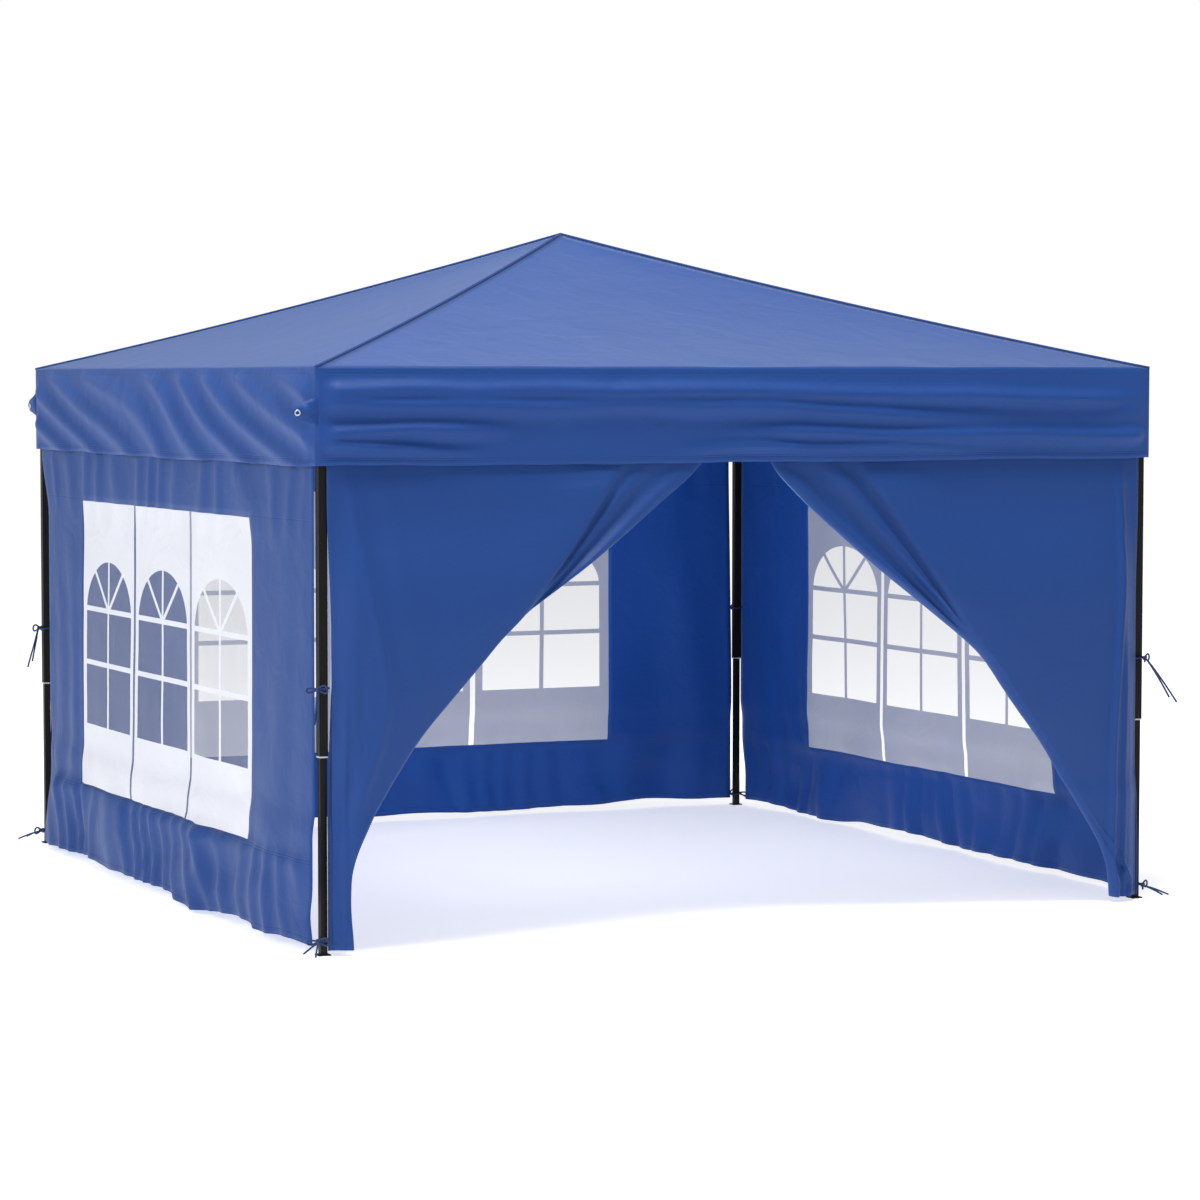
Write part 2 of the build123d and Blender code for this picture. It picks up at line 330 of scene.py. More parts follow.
def surface_wear_group():
    """Dust that lies thickest low down, and fine scuffs in a hard finish."""
    tree, given, out = new_group(
        "surface wear",
        [("Place", "NodeSocketVector", None), ("Colour", "NodeSocketColor", (0.01, 0.01, 0.01, 1)),
         ("Dust", "NodeSocketFloat", 0.2), ("Roughness", "NodeSocketFloat", 0.4),
         ("Grain", "NodeSocketFloat", 400.0)],
        [("Colour", "NodeSocketColor"), ("Roughness", "NodeSocketFloat"), ("Normal", "NodeSocketVector")])
    place = given.outputs["Place"]
    cloud = noise_field(tree, place, 9.0, 4.0)
    scuff = noise_field(tree, place, 60.0, 5.0, 0.7, 1.5)
    height = split(tree, place)[2]
    low = maths(tree, "SUBTRACT", 1.0, maths(tree, "MULTIPLY", height, 4.0), clamp=True)
    dust = maths(tree, "MULTIPLY", maths(tree, "ADD", maths(tree, "MULTIPLY", low, 0.8), 0.2), cloud)
    dust = maths(tree, "MULTIPLY", dust, given.outputs["Dust"], clamp=True)
    marks = maths(tree, "MULTIPLY", maths(tree, "GREATER_THAN", scuff, 0.66), 0.08)
    base = mix_colour(tree, marks, given.outputs["Colour"], (0.09, 0.09, 0.095, 1))
    tree.links.new(mix_colour(tree, dust, base, (0.33, 0.31, 0.28, 1)), out.inputs["Colour"])
    rough = maths(tree, "ADD", given.outputs["Roughness"], maths(tree, "MULTIPLY", dust, 0.5))
    tree.links.new(maths(tree, "MULTIPLY_ADD", scuff, 0.12, rough, clamp=True), out.inputs["Roughness"])
    fine = tree.nodes.new("ShaderNodeTexNoise")
    tree.links.new(place, fine.inputs["Vector"])
    tree.links.new(given.outputs["Grain"], fine.inputs["Scale"])
    tree.links.new(bump(tree, fine.outputs["Fac"], 0.0003, 0.35), out.inputs["Normal"])
    return tree


def shared(name, maker):
    """The node group of that name, made the first time it is asked for."""
    return bpy.data.node_groups.get(name) or maker()


def place_group(tree, name, maker, **values):
    node = tree.nodes.new("ShaderNodeGroup")
    node.node_tree = shared(name, maker)
    for socket, value in values.items():
        target = node.inputs[socket.replace("_", " ")]
        if hasattr(value, "is_output"):
            tree.links.new(value, target)
        else:
            target.default_value = value
    return node


# ---------------------------------------------------------------- materials

def new_material(name):
    found = bpy.data.materials.get(name)
    if found:
        return found, None, None
    made = bpy.data.materials.new(name)
    made.use_nodes = True
    return made, made.node_tree, made.node_tree.nodes["Principled BSDF"]


def cut_coordinates(tree):
    node = tree.nodes.new("ShaderNodeUVMap")
    node.uv_map = "cut"
    return node.outputs[0]


def cloth_material(name, colour, crumple, lines, from_middle=False, haze=0.10):
    """Coated polyester. lines are its rows of stitches, by height, or from_middle by distance from the middle."""
    made, tree, shader = new_material(name)
    if tree is None:
        return made
    cut = cut_coordinates(tree)
    weave = place_group(tree, "woven cloth", woven_cloth_group, Cut=cut, Colour=(*colour, 1),
                        Thread=cloth_settings().thread, Crumple=crumple)
    along, up = split(tree, cut)[:2]
    if from_middle:
        along, up = maths(tree, "ABSOLUTE", along), maths(tree, "ABSOLUTE", up)
        across = maths(tree, "MAXIMUM", along, up)
        run = maths(tree, "MINIMUM", along, up)
    else:
        across, run = up, along
    groove, thread = 0.0, 0.0
    for line in lines:
        row = place_group(tree, "sewn line", sewn_line_group, Across=across, Along=run, Line=line)
        groove = maths(tree, "MAXIMUM", row.outputs["Groove"], groove)
        thread = maths(tree, "MAXIMUM", row.outputs["Thread"], thread)
    dim = mix_colour(tree, maths(tree, "MULTIPLY", groove, 0.55), weave.outputs["Colour"],
                     tuple(c * 0.35 for c in colour) + (1,))
    lit = mix_colour(tree, maths(tree, "MULTIPLY", thread, 0.5), dim,
                     tuple(min(1, c * 1.6) for c in colour) + (1,))
    tree.links.new(lit, shader.inputs["Base Color"])
    tree.links.new(weave.outputs["Roughness"], shader.inputs["Roughness"])
    flipped = maths(tree, "SUBTRACT", 1.0, groove)
    tree.links.new(bump(tree, flipped, 0.0012, 0.6, weave.outputs["Normal"]), shader.inputs["Normal"])
    shader.inputs["Specular IOR Level"].default_value = 0.22
    shader.inputs["Sheen Weight"].default_value = haze
    shader.inputs["Sheen Roughness"].default_value = 0.4
    shader.inputs["Sheen Tint"].default_value = (0.62, 0.74, 1.0, 1)
    return made


def roof_cloth():
    return cloth_material("roof cloth", tuple(cloth_settings().roof_colour), 0.55, (HALF - 0.03,),
                          from_middle=True, haze=0.42)


def skirt_cloth():
    return cloth_material("valance cloth", tuple(cloth_settings().roof_colour), 0.8,
                          (SKIRT + 0.018, SKIRT + 0.024, EAVE - 0.02))


# Wall and door cloth take the darker wall blue, which is painted shade for the upright walls.
def wall_cloth():
    return cloth_material("wall cloth", tuple(cloth_settings().shaded_wall_colour), 1.0,
                          (WINDOW_LOW - 0.006, WINDOW_LOW - 0.014, HEM + 0.022, WINDOW_HIGH + 0.008))


def door_cloth():
    return cloth_material("door cloth", tuple(cloth_settings().shaded_wall_colour), 0.8, (HEM + 0.022,))


def worn_finish(tree, shader, colour, dust, roughness, grain):
    place = tree.nodes.new("ShaderNodeTexCoord").outputs["Object"]
    wear = place_group(tree, "surface wear", surface_wear_group, Place=place, Colour=(*colour, 1),
                       Dust=dust, Roughness=roughness, Grain=grain)
    for socket, target in (("Colour", "Base Color"), ("Roughness", "Roughness"), ("Normal", "Normal")):
        tree.links.new(wear.outputs[socket], shader.inputs[target])


def tape_material(name="navy tape", colour=None):
    """Narrow woven tape."""
    made, tree, shader = new_material(name)
    if tree is None:
        return made
    worn_finish(tree, shader, colour or tuple(cloth_settings().tape_colour), 0.04, 0.62, 900.0)
    shader.inputs["Specular IOR Level"].default_value = 0.2
    shader.inputs["Sheen Weight"].default_value = 0.08
    return made


def window_film():
    """Clear film with a white print; the print is opaque and the film lets the view through."""
    made, tree, shader = new_material("printed window film")
    if tree is None:
        return made
    cut = cut_coordinates(tree)
    printed = place_group(tree, "arched window print", window_print_group, Cut=cut)
    white = tuple(cloth_settings().print_colour)
    patch = mix_colour(tree, printed.outputs["Fade"], tuple(c * 0.86 for c in white) + (1,), (*white, 1))
    tree.links.new(mix_colour(tree, printed.outputs["Print"], (0.25, 0.27, 0.32, 1), patch),
                   shader.inputs["Base Color"])
    for target, more, least in (("Alpha", 0.66, 0.32), ("Roughness", 0.30, 0.14)):
        tree.links.new(maths(tree, "MULTIPLY_ADD", printed.outputs["Print"], more, least), shader.inputs[target])
    ripple = noise_field(tree, cut, 6.0, 3.0, 0.5, 0.8)
    tree.links.new(bump(tree, ripple, 0.010, 0.6), shader.inputs["Normal"])
    return made


def hard_material(name, colour, roughness, dust, grain, metallic=0.0):
    made, tree, shader = new_material(name)
    if tree is None:
        return made
    worn_finish(tree, shader, colour, dust, roughness, grain)
    shader.inputs["Metallic"].default_value = metallic
    shader.inputs["Specular IOR Level"].default_value = 0.12
    return made


def leg_steel():
    """Black powder coat, with the pale plastic collar at the end of the outer leg."""
    frame = bpy.context.scene.gazebo_frame
    made = bpy.data.materials.get("leg powder coat")
    if made:
        return made
    made = hard_material("leg powder coat", tuple(frame.leg_colour), 0.40, 0.06, 700.0)
    tree, shader = made.node_tree, made.node_tree.nodes["Principled BSDF"]
    low, high = (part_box("leg_fl")[0][2] - 0.001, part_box("leg_fl")[0][2] + 0.0042)
    place = tree.nodes.new("ShaderNodeTexCoord").outputs["Object"]
    height = split(tree, place)[2]
    collar = maths(tree, "MULTIPLY", maths(tree, "GREATER_THAN", height, low),
                   maths(tree, "LESS_THAN", height, high))
    coat = shader.inputs["Base Color"].links[0].from_socket
    tree.links.new(mix_colour(tree, collar, coat, (*frame.collar_colour, 1)), shader.inputs["Base Color"])
    return made


# ---------------------------------------------------------------- cloth shapes

def ease(low, high, value):
    """0 at low, 1 at high, smooth between; low may be the larger."""
    t = min(1.0, max(0.0, (value - low) / (high - low)))
    return t * t * (3 - 2 * t)


def drift(a, b, seed):
    return noise.noise(Vector((a, b, seed * 7.31)))


def steps(*stretches):
    """Places along a line: each stretch is (from, to, number of steps)."""
    places = [stretches[0][0]]
    for start, end, count in stretches:
        places += [start + (end - start) * (i + 1) / count for i in range(count)]
    return places


def to_mesh(bm, name, material):
    mesh = bpy.data.meshes.new(name)
    for face in bm.faces:
        face.smooth = True
    bm.to_mesh(mesh)
    bm.free()
    made = bpy.data.objects.new(name, mesh)
    bpy.context.scene.collection.objects.link(made)
    mesh.materials.append(material)
    return made


def cloth_grid(name, columns, rows, shape, material, turn, opening=None):
    """A sheet gridded at the given places along and up it, with its cut in the UV map.
    shape gives a point for each place; opening is the part cut out, (half width, low, high)."""
    bm = bmesh.new()
    bmesh.ops.create_grid(bm, x_segments=len(columns) - 1, y_segments=len(rows) - 1, size=0.5)
    cut = bm.loops.layers.uv.new("cut")
    flat = {}
    for vert in bm.verts:
        i = round((vert.co.x + 0.5) * (len(columns) - 1))
        j = round((vert.co.y + 0.5) * (len(rows) - 1))
        flat[vert] = (columns[i], rows[j])
    for face in bm.faces:
        for loop in face.loops:
            loop[cut].uv = flat[loop.vert]
    if opening:
        half, low, high = opening
        gone = [f for f in bm.faces if all(
            abs(flat[v][0]) < half + 1e-5 and low - 1e-5 < flat[v][1] < high + 1e-5 for v in f.verts)]
        bmesh.ops.delete(bm, geom=gone, context="FACES")
    for vert in bm.verts:
        vert.co = shape(*flat[vert])
    turn_mesh(bm, turn)
    return to_mesh(bm, name, material)


def turn_mesh(bm, degrees, axis="Z"):
    bmesh.ops.rotate(bm, cent=(0, 0, 0), matrix=Matrix.Rotation(radians(degrees), 3, axis), verts=bm.verts)


def thicken(piece, offset=0.0):
    solid = piece.modifiers.new("Cloth thickness", "SOLIDIFY")
    solid.thickness = cloth_settings().thickness
    solid.offset = offset
    return piece


def fold_up(piece, body):
    """The piece rides on its body, with a mesh of its own."""
    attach(piece, body)
    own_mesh(piece)
    return piece


def roof_height(x, y):
    """Height of the roof cloth: straight from peak to eave, less the sag of hips and panels."""
    drape = drape_settings()
    far, less = max(abs(x), abs(y)), min(abs(x), abs(y))
    out = far / HALF
    bow = 4 * out * (1 - out)
    across = 1 - (less / far) ** 2 if far > 1e-6 else 0.0
    crease = 0.0035 * drift(x * 3.1, y * 3.1, 2.0) * bow
    pull = 0.006 * across * ease(0.86, 1.0, out) * (1 - ease(0.97, 1.0, out)) * drift(x * 5, y * 5, 3.0)
    return PEAK - far * SLOPE - drape.hip_sag * bow - drape.panel_sag * across * bow + crease * across + pull


def roof_panel(side):
    bm = bmesh.new()
    corners = [bm.verts.new(p) for p in ((HALF, -HALF, 0), (HALF, HALF, 0), (0, 0, 0))]
    bm.faces.new(corners)
    bmesh.ops.subdivide_edges(bm, edges=bm.edges, cuts=63, use_grid_fill=True)
    turn_mesh(bm, TURN[side])
    cut = bm.loops.layers.uv.new("cut")
    for face in bm.faces:
        for loop in face.loops:
            loop[cut].uv = loop.vert.co.xy
    for vert in bm.verts:
        vert.co.z = roof_height(vert.co.x, vert.co.y)
    return to_mesh(bm, f"roof_panel_{side}", roof_cloth())


def line_mesh(points, radius):
    """The mesh of a round cord along a smooth curve through the points."""
    curve = bpy.data.curves.new("line", "CURVE")
    curve.dimensions = "3D"
    curve.bevel_depth = radius
    curve.bevel_resolution = 3
    curve.use_fill_caps = True
    curve.resolution_u = 6
    spline = curve.splines.new("NURBS")
    spline.points.add(len(points) - 1)
    for knot, point in zip(spline.points, points):
        knot.co = (*point, 1)
    spline.order_u = 3
    spline.use_endpoint_u = True
    holder = bpy.data.objects.new("line", curve)
    bpy.context.scene.collection.objects.link(holder)
    bpy.context.view_layer.update()
    made = bpy.data.meshes.new_from_object(holder.evaluated_get(bpy.context.evaluated_depsgraph_get()))
    bpy.data.objects.remove(holder)
    bpy.data.curves.remove(curve)
    return made


def line_piece(name, lines, material):
    """One piece made of several round cords; each line is (points, radius)."""
    bm = bmesh.new()
    for points, radius in lines:
        mesh = line_mesh(points, radius)
        bm.from_mesh(mesh)
        bpy.data.meshes.remove(mesh)
    bmesh.ops.remove_doubles(bm, verts=bm.verts, dist=1e-6)
    bmesh.ops.recalc_face_normals(bm, faces=bm.faces)
    return to_mesh(bm, name, material)


def hip_points(sx, sy):
    places = [i / 14 for i in range(15)]
    return [(sx * HALF * p, sy * HALF * p, roof_height(HALF * p, HALF * p) + 0.001) for p in places]


def skirt_out(side, a, z):
    """How far the valance stands out of its plane: long level folds, or slanting ones on the sides."""
    depth = drape_settings().skirt_fold
    ends = ease(HALF, HALF - 0.07, abs(a))
    drop = (EAVE - z) / (EAVE - SKIRT)
    hang = ease(0.0, 0.16, drop)
    seed = TURN[side] / 90 + 1
    if side in ("front", "back"):
        fold = 0.0
        for i, (level, spread) in enumerate(((0.24, 0.075), (0.46, 0.085), (0.68, 0.075), (0.88, 0.05))):
            centre = (level + 0.055 * a / HALF + 0.16 * drift(a * 0.75, i * 3.0, seed)
                      + 0.03 * drift(a * 3, i, seed))
            length = ease(-0.30, 0.22, drift(a * 0.85 + i * 5.0, i * 2.0, seed + 4))
            fold += length * near(drop, centre, spread)
        fold = 1.5 * min(1.1, fold)
    else:
        way = -1 if side == "left" else 1
        wander = 0.7 * drift(a * 1.1, z * 2.0, seed)
        slant = 0.5 + 0.5 * sin(2 * pi * ((a + way * 2.6 * (EAVE - z)) / 0.40 + wander))
        fold = slant ** 1.5 * (0.30 + 0.70 * ease(-0.35, 0.30, drift(a * 0.9, 3.0, seed + 2)))
    swell = 0.005 * sin(pi * min(1, drop * 1.1)) + 0.006 * drop
    return ends * hang * (depth * fold + swell)


def skirt_panel(side):
    def shape(a, z):
        drop = (EAVE - z) / (EAVE - SKIRT)
        wave = 0.007 * drift(a * 1.7, 0.0, TURN[side] / 90 + 9) + 0.003 * drift(a * 6, 1.0, 4)
        sag = 0.004 * (1 - (a / HALF) ** 2)
        return (HALF + skirt_out(side, a, z), a, z + (wave - sag) * drop * ease(HALF, HALF - 0.1, abs(a)))

    rows = steps((SKIRT, EAVE - 0.02, 26), (EAVE - 0.02, EAVE, 3))
    return cloth_grid(f"skirt_{side}", steps((-HALF, HALF, 200)), rows, shape, skirt_cloth(), TURN[side])


def clear_of_feet(z):
    """Low down, a wall stands this far out, so that the feet and their ties rise behind it."""
    return 0.001 + 0.0085 * ease(0.44, 0.36, z)


def wall_out(side, a, z):
    """How far a wall stands out of its plane: soft waves that grow towards the hem."""
    depth = drape_settings().wall_wave
    seed = TURN[side] / 90 + 2
    low = 1 - min(1.0, max(0.0, z) / 1.5)
    ends = 1 - exp(-max(0.0, WALL_HALF - abs(a)) / 0.16)
    wander = 1.1 * drift(a * 0.9, z * 0.5, seed)
    broad = 0.5 + 0.5 * sin(2 * pi * (a / 0.92 + wander) + seed)
    narrow = 0.5 + 0.5 * sin(2 * pi * (a / 0.37 + 1.4 * drift(a * 1.6, z * 0.7, seed + 3)))
    over_film = ease(WINDOW_HALF + 0.12, WINDOW_HALF - 0.02, abs(a))
    over_film *= ease(WINDOW_HIGH + 0.1, WINDOW_HIGH - 0.05, z)
    over_film *= ease(WINDOW_LOW - 0.06, WINDOW_LOW + 0.12, z)
    soft = depth * (0.10 + 0.90 * low ** 1.3) * (0.62 * broad + 0.38 * narrow * (1 - 0.75 * over_film))
    band = ease(WINDOW_LOW + 0.03, WINDOW_LOW - 0.05, z)
    fan = 0.5 + 0.5 * sin(2 * pi * (a / 0.15 + 0.35 * z / WINDOW_LOW + 1.8 * drift(a * 2, z * 1.5, seed + 6)))
    gather = band * 0.012 * fan ** 2
    gather += band * 0.017 * (1 + 1.6 * drift(a * 2.4 + z * 2.0, z * 5.0 - a, seed + 7))
    head = ease(WINDOW_HIGH - 0.10, WINDOW_HIGH + 0.02, z) * ease(1.53, 1.47, z)
    top_fan = 0.5 + 0.5 * sin(2 * pi * (a / 0.19 + 1.2 * drift(a * 2, z * 1.2, seed + 9)))
    gather += head * 0.009 * top_fan ** 2
    crease = 0.0035 * (1 + drift(a * 4 + z * 5, z * 4 - a * 2, seed + 8)) * (1 - 0.6 * over_film)
    tuck = -0.004 * exp(-((z - WINDOW_LOW) / 0.012) ** 2)
    return ends * ease(EAVE - 0.02, 1.42, z) * (soft + gather + crease + tuck) + clear_of_feet(z)


def edge_reach(side, a, z):
    """How far a wall's upright edge reaches past its plain place, by the leg that it meets."""
    if side == "right" and a > 0:
        return 0.017 - 0.030 * ease(0.30, 0.10, z)
    if side == "back" and a < 0:
        return 0.010 * ease(1.2, 0.4, z) - 0.006 * ease(1.0, 1.45, z)
    if side == "left" and a < 0:
        return -0.085 * ease(1.50, 1.25, z) - 0.035 * near(z, 0.33, 0.13) + 0.055 * ease(0.25, 0.0, z)
    if side == "left":
        return 0.004 - 0.020 * near(z, 0.10, 0.06)
    return 0.003 - 0.008 * ease(1.0, 1.6, z)


def wall_shape(side):
    def shape(a, z):
        ripple = drift(a * 1.3, 0.0, TURN[side] / 90 + 5) + 0.6 * drift(a * 3.4, 0.0, TURN[side] / 90 + 6)
        hem = (0.016 + 0.026 * ripple) * ease(0.30, HEM, z)
        edge = ease(WALL_HALF - 0.30, WALL_HALF, abs(a)) * (1 if a > 0 else -1)
        along = a + edge * edge_reach(side, a, z)
        return (WALL_X + wall_out(side, a, z), along, z + max(hem, 0.0))
    return shape


def window_columns():
    return steps((-WINDOW_HALF, WINDOW_HALF, 82))


def wall_grid():
    columns = steps((-WALL_HALF, -WINDOW_HALF, 28), (-WINDOW_HALF, WINDOW_HALF, 82),
                    (WINDOW_HALF, WALL_HALF, 28))
    rows = steps((HEM, WINDOW_LOW, 20), (WINDOW_LOW, WINDOW_HIGH, 46), (WINDOW_HIGH, WALL_TOP, 18))
    return columns, rows


def window_wall(side):
    columns, rows = wall_grid()
    cloth = cloth_grid(f"wall_cloth_{side}", columns, rows, wall_shape(side), wall_cloth(), TURN[side],
                       opening=(WINDOW_HALF, WINDOW_LOW, WINDOW_HIGH))
    film = cloth_grid(f"window_{side}", window_columns(), steps((WINDOW_LOW, WINDOW_HIGH, 46)),
                      wall_shape(side), window_film(), TURN[side])
    return cloth, film


def eased(points, z):
    """Where a line given as (height, place) points is at a height, eased over its corners."""
    def straight(height):
        for (z0, a0), (z1, a1) in zip(points, points[1:]):
            if height >= z1:
                return a0 + (a1 - a0) * min(1.0, max(0.0, (z0 - height) / (z0 - z1)))
        return points[-1][1]
    return sum(straight(z + (i - 3) * 0.018) for i in range(7)) / 7


def near(value, centre, spread):
    return exp(-((value - centre) / spread) ** 2)


def door_relief(half, d, edge, ridge, z):
    """Folds on the outside of a drawn door half; d, edge and ridge are measured from the leg."""
    under = ease(1.512, 1.40, z)
    q = d - ridge
    lift = 0.030 * under * (1 - ease(-0.006, 0.030, q)) * (0.35 + 0.65 * exp(-(min(q, 0) / 0.20) ** 2))
    lift *= ease(0.30, 0.9, z)
    strip = min(1.0, max(0.0, q / max(0.02, edge - ridge)))
    on_strip = under * ease(0.0, 0.03, q) * min(1.0, (edge - ridge) / 0.12)
    if half == "left":
        lift += on_strip * (0.016 * near(strip, 0.30, 0.11) + 0.020 * near(strip, 0.82, 0.20))
        crease = 0.055 + 0.175 * (1.49 - z) * ease(0.3, 0.9, z)
        lift += under * 0.010 * near(d, crease, 0.020) * ease(0.25, 0.6, z)
        lift += 0.006 * under * near(d, crease + 0.11, 0.035) * ease(0.5, 0.9, z)
        hold = 0.050
    else:
        lift += on_strip * (0.026 * near(strip, 0.34, 0.11) + 0.024 * near(strip, 0.92, 0.14))
        crease = 0.080 + 0.050 * ease(1.4, 0.5, z)
        lift += under * 0.014 * near(d, crease, 0.012)
        hold = 0.085
    lift -= 0.012 * near(d, crease * 0.55, 0.025) * ease(1.15, 0.8, z)
    lift += 0.014 * (1 - ease(hold - 0.008, hold + 0.010, d)) * ease(1.0, 0.7, z)
    return lift


def door_shape(half):
    """A door half hung from the front and drawn to its leg. u runs from the leg to the free edge: over
    the front, round the fold at the opening at one half, and back behind."""
    sign = -1 if half == "left" else 1
    leg_edge = sign * (WALL_HALF + 0.013)

    def shape(u, z):
        width = abs(leg_edge - eased(DOOR_EDGE[half], z))
        ridge = abs(leg_edge - eased(DOOR_RIDGE[half], z))
        behind = 0.016 + 0.95 * width * ease(1.34, 1.04, z)
        turn = 0.0012 + min(0.018, 0.24 * width) * ease(1.40, 1.00, z)
        past = (2 * u - 1) * (width if u < 0.5 else behind)
        round_fold = min(pi / 2, max(-pi / 2, past / turn))
        inset = turn * (1 - cos(round_fold)) + max(0.0, abs(past) - turn * pi / 2)
        d = width - min(inset, width)
        front = (1 - sin(round_fold)) / 2
        low = ease(1.50, 1.10, z)
        swell = 0.40 * drape_settings().door_billow * low * sin(pi * min(1.0, d / max(0.2, width))) ** 0.8
        soft = 0.006 * low * (1 + drift(d * 1.7, z * 1.1, 3.0 + sign)) + 0.002 * (1 + drift(d * 6, z * 4, 5))
        relief = door_relief(half, d, width, ridge, z)
        at_leg = 0.08 + 0.92 * ease(0.0, 0.09, d)
        out = 2 * turn * front * at_leg
        out += front * at_leg * (swell * ease(0.1, 0.5, width) + soft * low + relief)
        gather = 0.5 + 0.5 * sin(2 * pi * (d / 0.040 + 0.25 * drift(z * 1.5, d, 4)))
        out += 1.7 * turn * at_leg * (1 - front) * ease(0.0, 0.03, inset) * gather
        hem = 0.010 * (1 + drift(d * 3, 0, 6)) * ease(0.2, HEM, z)
        return (WALL_X + clear_of_feet(z) + min(max(out, 0.0), DOOR_DEEPEST), leg_edge - sign * d, z + hem)
    return shape


def door_half(half):
    columns = steps((0.0, 0.45, 84), (0.45, 0.5, 22), (0.5, 0.55, 22), (0.55, 1.0, 84))
    rows = steps((HEM, WALL_TOP, 116))
    piece = cloth_grid(f"door_{half}", columns, rows, door_shape(half), door_cloth(), TURN["front"])
    if half == "right":
        piece.data.flip_normals()
    return piece


# ---------------------------------------------------------------- operators

class GAZEBO_OT_roof(bpy.types.Operator):
    """Make the four roof panels and the bindings along their hips"""
    bl_idname = "gazebo.make_roof"
    bl_label = "Roof"

    def execute(self, context):
        for side, turn in TURN.items():
            panel = thicken(roof_panel(side), -1.0)
            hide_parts(f"canopy_{side}")
            fold_up(panel, f"canopy_{side}")
        for side, sy in (("front", -1), ("back", 1)):
            darker = tuple(c * 0.72 for c in cloth_settings().roof_colour)
            piece = line_piece(f"hip_binding_{side}", [(hip_points(sx, sy), 0.0055) for sx in (1, -1)],
                               tape_material("hip binding", darker))
            fold_up(piece, f"canopy_{side}")
        return {"FINISHED"}


class GAZEBO_OT_skirts(bpy.types.Operator):
    """Make the four valances"""
    bl_idname = "gazebo.make_skirts"
    bl_label = "Valances"

    def execute(self, context):
        for side, turn in TURN.items():
            skirt = thicken(skirt_panel(side))
            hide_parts(f"valance_{side}")
            fold_up(skirt, f"mid_upper_{side}")
        return {"FINISHED"}


class GAZEBO_OT_walls(bpy.types.Operator):
    """Make the three walls with their printed windows"""
    bl_idname = "gazebo.make_walls"
    bl_label = "Window walls"

    def execute(self, context):
        for side in ("left", "back", "right"):
            cloth, film = window_wall(side)
            thicken(cloth)
            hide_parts(f"wall_{side}")
            for piece in (cloth, film):
                fold_up(piece, f"mid_upper_{side}")
        return {"FINISHED"}


class GAZEBO_OT_door(bpy.types.Operator):
    """Make the two halves of the zipped front, drawn to the legs, with their zip tapes"""
    bl_idname = "gazebo.make_door"
    bl_label = "Front door"

    def execute(self, context):
        for half in ("left", "right"):
            piece = thicken(door_half(half))
            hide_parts("wall_front")
            fold_up(piece, "mid_upper_front")
            shape = door_shape(half)
            heights = [HEM + (WALL_TOP - HEM) * i / 30 for i in range(31)]
            front = Matrix.Rotation(radians(TURN["front"]), 3, "Z")
            edge = [front @ Vector(shape(1.0, z)) for z in heights]
            zip_tape = line_piece(f"zip_tape_{half}", [(edge, 0.004)], tape_material())
            fold_up(zip_tape, "mid_upper_front")
        return {"FINISHED"}


def tie_lines(sx, sy, z, reach, fall):
    """A tape round a leg, knotted at its outer corner: a turn, two loops and two tails."""
    h = 0.0155
    knot = Vector((sx * (LEG + h + 0.004), sy * (LEG + h + 0.004), z))
    ring = [(sx * LEG + x * h * 1.15, sy * LEG + y * h * 1.15, z + 0.002 * x)
            for x, y in ((1, 1), (0, 1.1), (-1, 1), (-1.1, 0), (-1, -1), (0, -1.1), (1, -1), (1.1, 0),
                         (1, 0.98))]
    out, side = Vector((sx, sy, 0)).normalized(), Vector((-sy, sx, 0)).normalized()
    lines = [(ring, 0.0032)]
    blob = [knot + out * t for t in (-0.005, 0.0, 0.004, 0.008)]
    lines.append((blob, 0.0068))
    for way, lift in ((1, 0.016), (-1, 0.004)):
        loop = [knot, knot + side * way * 0.018 + Vector((0, 0, lift)) + out * 0.006,
                knot + side * way * 0.036 + Vector((0, 0, lift * 0.4)) + out * 0.010,
                knot + side * way * 0.034 + Vector((0, 0, -0.012)) + out * 0.008,
                knot + side * way * 0.015 + Vector((0, 0, -0.008)) + out * 0.004, knot]
        lines.append((loop, 0.0030))
    for spread, long in ((0.35, 1.0), (-0.25, 0.86)):
        tip = out * reach * long + side * spread * reach * 0.9 + Vector((0, 0, -fall * long))
        tail = [knot, knot + out * 0.008 + Vector((0, 0, -0.004)), knot + tip * 0.35 + out * reach * 0.06,
                knot + tip * 0.7 + out * reach * 0.04, knot + tip]
        lines.append((tail, 0.0031))
    return lines


class GAZEBO_OT_ties(bpy.types.Operator):
    """Make the tie tapes that hold the walls to the legs"""
    bl_idname = "gazebo.make_ties"
    bl_label = "Tie tapes"

    def execute(self, context):
        for corner, (sx, sy) in CORNERS.items():
            reach, fall = TIE_HANG[corner]
            high = line_piece(f"tie_{corner}_high", tie_lines(sx, sy, TIE_HIGH, reach, fall), tape_material())
            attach(high, f"leg_{corner}")
            low = line_piece(f"tie_{corner}_low", tie_lines(sx, sy, TIE_LOW, 0.085, 0.033), tape_material())
            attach(low, f"lower_leg_{corner}")
        return {"FINISHED"}


